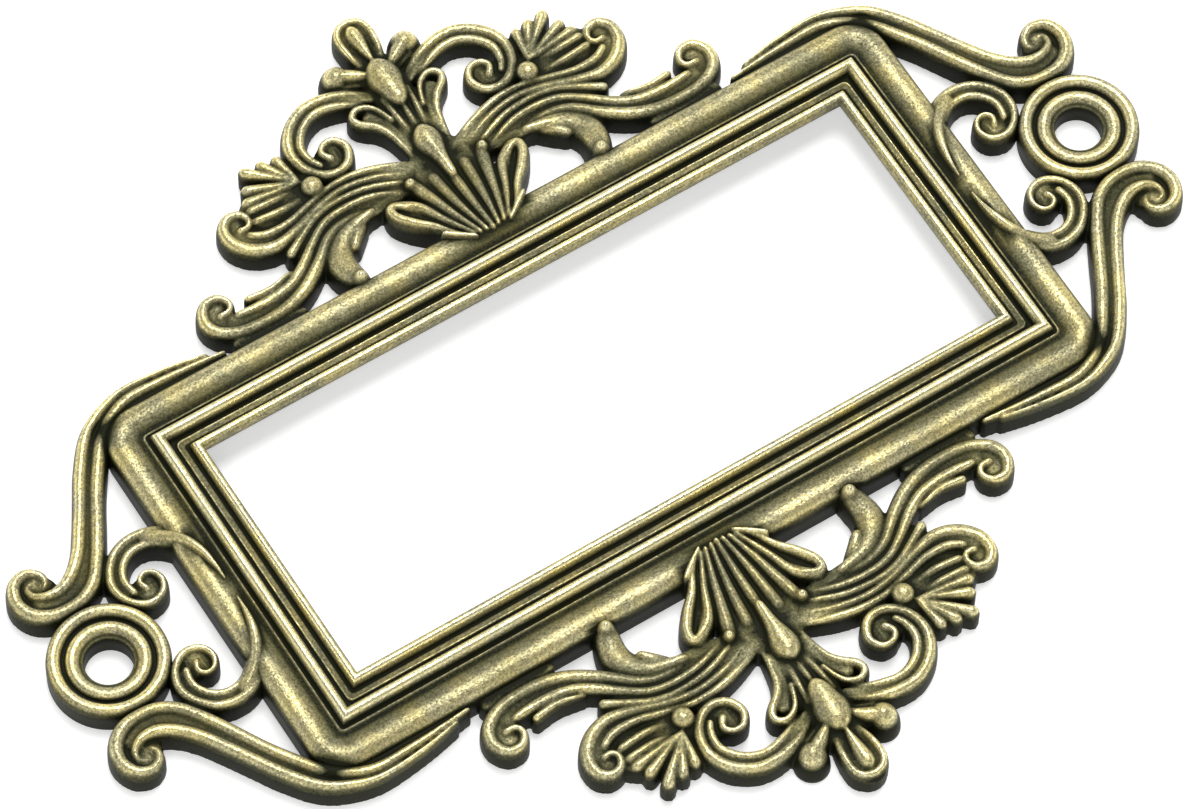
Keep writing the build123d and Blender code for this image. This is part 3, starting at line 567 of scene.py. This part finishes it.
# One skin over all the strokes, softened as a casting is, then thinned to a handy number of faces
body = newObject("castBlank", blankMesh)
fuse = body.modifiers.new("fuse", "REMESH")
fuse.mode = "VOXEL"
fuse.voxel_size = casting["voxel"]
soften = body.modifiers.new("soften", "SMOOTH")
soften.factor = casting["softening"]
soften.iterations = casting["smoothing"]
dense = bpy.data.meshes.new_from_object(body.evaluated_get(bpy.context.evaluated_depsgraph_get()))
bpy.data.objects.remove(body)
print("fused", len(dense.polygons))
densePoints = positions(dense)
body = newObject("castDense", dense)
thin = body.modifiers.new("thin", "DECIMATE")
thin.ratio = min(1.0, casting["trianglesWanted"] / (2 * len(dense.polygons)))
carvedMesh = bpy.data.meshes.new_from_object(body.evaluated_get(bpy.context.evaluated_depsgraph_get()))
bpy.data.objects.remove(body)
points = positions(carvedMesh)
points[:, 2] = np.maximum(points[:, 2], 0.0)
carvedMesh.vertices.foreach_set("co", points.ravel())
print("thinned", len(carvedMesh.polygons))

# The moulding and the eyelets keep their crisp sections
whole = bmesh.new()
whole.from_mesh(carvedMesh)


# Joins rings of points into a closed skin
def skin(rings):
    rows = [[whole.verts.new(point) for point in ring] for ring in rings]
    for near, far in zip(rows, rows[1:] + rows[:1]):
        for index in range(len(near)):
            after = (index + 1) % len(near)
            whole.faces.new((near[index], near[after], far[after], far[index]))


# One line round the window, with rounded corners and short steps along the rails
def cornerRing(out, height, radius):
    halfX = moulding["windowX"] / 2 + out
    halfY = moulding["windowY"] / 2 + out
    corners = []
    for quarter, (signX, signY) in enumerate(((1, 1), (-1, 1), (-1, -1), (1, -1))):
        turns = [math.pi / 2 * (quarter + step / moulding["cornerSteps"])
                 for step in range(moulding["cornerSteps"] + 1)]
        corners.append([(signX * (halfX - radius) + radius * math.cos(turn),
                         signY * (halfY - radius) + radius * math.sin(turn), height) for turn in turns])
    ring = []
    for corner, following, rail in zip(corners, corners[1:] + corners[:1], ("windowX", "windowY") * 2):
        ring += corner
        steps = round(moulding[rail] / moulding["railStep"])
        ring += [Vector(corner[-1]).lerp(Vector(following[0]), step / steps) for step in range(1, steps)]
    return ring


skin([cornerRing(*member) for member in moulding["section"]])
turns = [2 * math.pi * step / eyelet["turns"] for step in range(eyelet["turns"])]
for side in (1, -1):
    skin([[(side * eyeletX + (holeRadius + out) * math.cos(turn), (holeRadius + out) * math.sin(turn), height)
           for turn in turns] for out, height in eyelet["section"]])
bmesh.ops.recalc_face_normals(whole, faces=whole.faces)
labelMesh = bpy.data.meshes.new("labelFrame")
whole.to_mesh(labelMesh)
whole.free()

# Height map of the relief, for what stands above and below its surroundings
relief = {
    "cell": 0.1,
    "edge": 3.0,
    "fine": 0.2,    # reach of the mean that a ridge stands above
    "broad": 1.3,    # reach of the mean that a whole form stands above
    "solidFrom": 0.3,
    "wallNormal": 0.5,    # upward share of the normal under which a face counts as wall
    "wallSpan": 0.3,
    # how dark the walls are: dark oxide, plus painted shade that deepens towards the table
    "wallOxideShadeDrop": 0.3,
    "wallTop": 2.8,
    "liftWearShadeMost": 0.5,
    "rubMost": 0.2,
}
low = densePoints[:, :2].min(0) - relief["edge"]
cells = np.ceil((densePoints[:, :2].max(0) + relief["edge"] - low) / relief["cell"]).astype(int)
heights = np.zeros(cells)
spots = ((densePoints[:, :2] - low) / relief["cell"]).astype(int)
np.maximum.at(heights, (spots[:, 0], spots[:, 1]), densePoints[:, 2])
cellX = (low[0] + (np.arange(cells[0]) + 0.5) * relief["cell"])[:, None]
cellY = (low[1] + (np.arange(cells[1]) + 0.5) * relief["cell"])[None, :]
fromWindow = np.maximum(np.abs(cellX) - moulding["windowX"] / 2, np.abs(cellY) - moulding["windowY"] / 2)
fromHole = np.hypot(np.abs(cellX) - eyeletX, cellY) - holeRadius
for distance, section in ((fromWindow, moulding["section"][4:-1]), (fromHole, eyelet["section"][1:-1])):
    outs = [member[0] for member in section]
    tops = [member[1] for member in section]
    heights = np.maximum(heights, np.interp(distance, outs, tops, left=0.0, right=0.0))


def blurred(grid, radius):
    reach = max(1, round(radius / relief["cell"]))
    for axis in (0, 1):
        for turn in range(2):
            padded = np.concatenate([np.zeros_like(grid.take(range(reach + 1), axis)), grid,
                                     np.zeros_like(grid.take(range(reach), axis))], axis)
            total = padded.cumsum(axis)
            span = 2 * reach + 1
            count = grid.shape[axis]
            grid = (total.take(range(span, span + count), axis) - total.take(range(count), axis)) / span
    return grid


# Value of a grid at points, running smoothly between cells
def sampled(grid, where):
    place = (where - low) / relief["cell"] - 0.5
    corner = np.floor(place).astype(int)
    share = place - corner
    total = 0.0
    for stepX in (0, 1):
        for stepY in (0, 1):
            weight = np.abs(1 - stepX - share[:, 0]) * np.abs(1 - stepY - share[:, 1])
            total = total + weight * grid[corner[:, 0] + stepX, corner[:, 1] + stepY]
    return total


solidPart = (heights > relief["solidFrom"]).astype(float)
fineMean = blurred(heights, relief["fine"]) / np.maximum(blurred(solidPart, relief["fine"]), 1e-3)
points = positions(labelMesh)
normals = np.empty(len(labelMesh.vertices) * 3)
labelMesh.vertex_normals.foreach_get("vector", normals)
steep = np.clip((relief["wallNormal"] - normals.reshape(-1, 3)[:, 2]) / relief["wallSpan"], 0, 1)
rub = np.minimum(points[:, 2] - sampled(fineMean, points[:, :2]), relief["rubMost"])
# walls are dark with oxide and get painted shade that deepens towards the table
wallOxideAndShade = relief["wallOxideShadeDrop"] * (points[:, 2] / relief["wallTop"] - 1.0)
rub = rub * (1 - steep) + wallOxideAndShade * steep
# lift: height over the broad mean, with empty ground counted as zero, so sunken forms get painted shade and
# raised forms and outer edges get painted highlight, along with rubbed wear
broadMean = blurred(heights, relief["broad"])
lift = np.minimum(points[:, 2] - sampled(broadMean, points[:, :2]), relief["liftWearShadeMost"])
for name, values in (("rub", rub), ("lift", lift)):
    labelMesh.attributes.new(name, "FLOAT", "POINT").data.foreach_set("value", values)
labelMesh.transform(Matrix.Scale(metresPerMm, 4))
labelMesh.materials.append(antiqueBrassRubbed)
labelMesh.shade_smooth()
labelFrame = newObject("labelFrame", labelMesh)
print("label frame ready")

# White table, a hair under the casting so that the two faces don't coincide
table = {"size": 3.0, "drop": 0.00002, "colour": "f4f4f2", "glow": 0.5}
floorMesh = bpy.data.meshes.new("table")
half = table["size"] / 2
corners = [(x * half, y * half, -table["drop"]) for x, y in ((-1, -1), (1, -1), (1, 1), (-1, 1))]
floorMesh.from_pydata(corners, [], [(0, 1, 2, 3)])
floor = newObject("table", floorMesh)
paper = bpy.data.materials.new("whitePaperSweep")    # matt white card: no gloss, keeps a soft shadow
paper.use_nodes = True
tree = paper.node_tree
tree.nodes.clear()
rays = addNode(tree, "ShaderNodeLightPath")
seen = addNode(tree, "ShaderNodeMath",
               {0: rays.outputs["Is Camera Ray"], 1: rays.outputs["Is Glossy Ray"]}, operation="MAXIMUM")
seen = addNode(tree, "ShaderNodeMath",
               {0: seen.outputs[0], 1: rays.outputs["Is Transmission Ray"]}, operation="MAXIMUM")
strength = addNode(tree, "ShaderNodeMath", {0: seen.outputs[0], 1: table["glow"]}, operation="MULTIPLY")
matt = addNode(tree, "ShaderNodeBsdfDiffuse", {"Color": colour(table["colour"])})
glow = addNode(tree, "ShaderNodeEmission", {"Strength": strength.outputs[0]})
both = addNode(tree, "ShaderNodeAddShader", {0: matt.outputs[0], 1: glow.outputs[0]})
addNode(tree, "ShaderNodeOutputMaterial", {"Surface": both.outputs[0]})
floorMesh.materials.append(paper)

# Soft studio light
studio = {
    # a white tent that is bright at the horizon and darker overhead, between two heights of a unit dome
    "tentLow": 0.2,
    "tentHigh": 0.65,
    "horizon": 1.6,
    "overhead": 0.12,
    "lamps": [
        # name, place in metres, size, watts
        ("backSoftbox", (0.16, 0.2, 0.73), 0.45, 4.4),
        ("frontSoftbox", (-0.3, -0.42, 0.7), 0.5, 1.0),
    ],
}
world = bpy.data.worlds.new("studio")
bpy.context.scene.world = world
world.use_nodes = True
tree = world.node_tree
tree.nodes.clear()
way = addNode(tree, "ShaderNodeTexCoord")
parts = addNode(tree, "ShaderNodeSeparateXYZ", {0: way.outputs["Generated"]})
strength = addNode(tree, "ShaderNodeMapRange",
                   {"Value": parts.outputs["Z"], "From Min": studio["tentLow"],
                    "From Max": studio["tentHigh"], "To Min": studio["horizon"],
                    "To Max": studio["overhead"]})
sky = addNode(tree, "ShaderNodeBackground", {"Strength": strength.outputs[0]})
addNode(tree, "ShaderNodeOutputWorld", {"Surface": sky.outputs[0]})
for name, place, size, watts in studio["lamps"]:
    lamp = bpy.data.lights.new(name, "AREA")
    lamp.shape = "DISK"
    lamp.size = size
    lamp.energy = watts
    holder = newObject(name, lamp)
    holder.location = place
    holder.rotation_euler = (-Vector(place)).to_track_quat("-Z", "Y").to_euler()

# Camera at the photograph's angle, for a frame of 1183 by 809
view = {"azimuth": -123.54, "elevation": 62.16, "roll": 1.586, "distance": 0.45694, "lens": 226.96,
        "sensor": 36.0, "aim": (-0.000701, 0.000205, 0.0)}
turn = math.radians(view["azimuth"])
rise = math.radians(view["elevation"])
outward = Vector((math.cos(rise) * math.cos(turn), math.cos(rise) * math.sin(turn), math.sin(rise)))
camera = newObject("camera", bpy.data.cameras.new("camera"))
camera.data.sensor_width = view["sensor"]
camera.data.lens = view["lens"]
camera.data.clip_start = 0.01
camera.location = Vector(view["aim"]) + outward * view["distance"]
roll = Matrix.Rotation(math.radians(view["roll"]), 3, "Z")
facing = (-outward).to_track_quat("-Z", "Y").to_matrix() @ roll
camera.rotation_euler = facing.to_euler()
bpy.context.scene.camera = camera
bpy.context.scene.view_settings.view_transform = "Standard"

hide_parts("label_frame")
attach(labelFrame, "root")
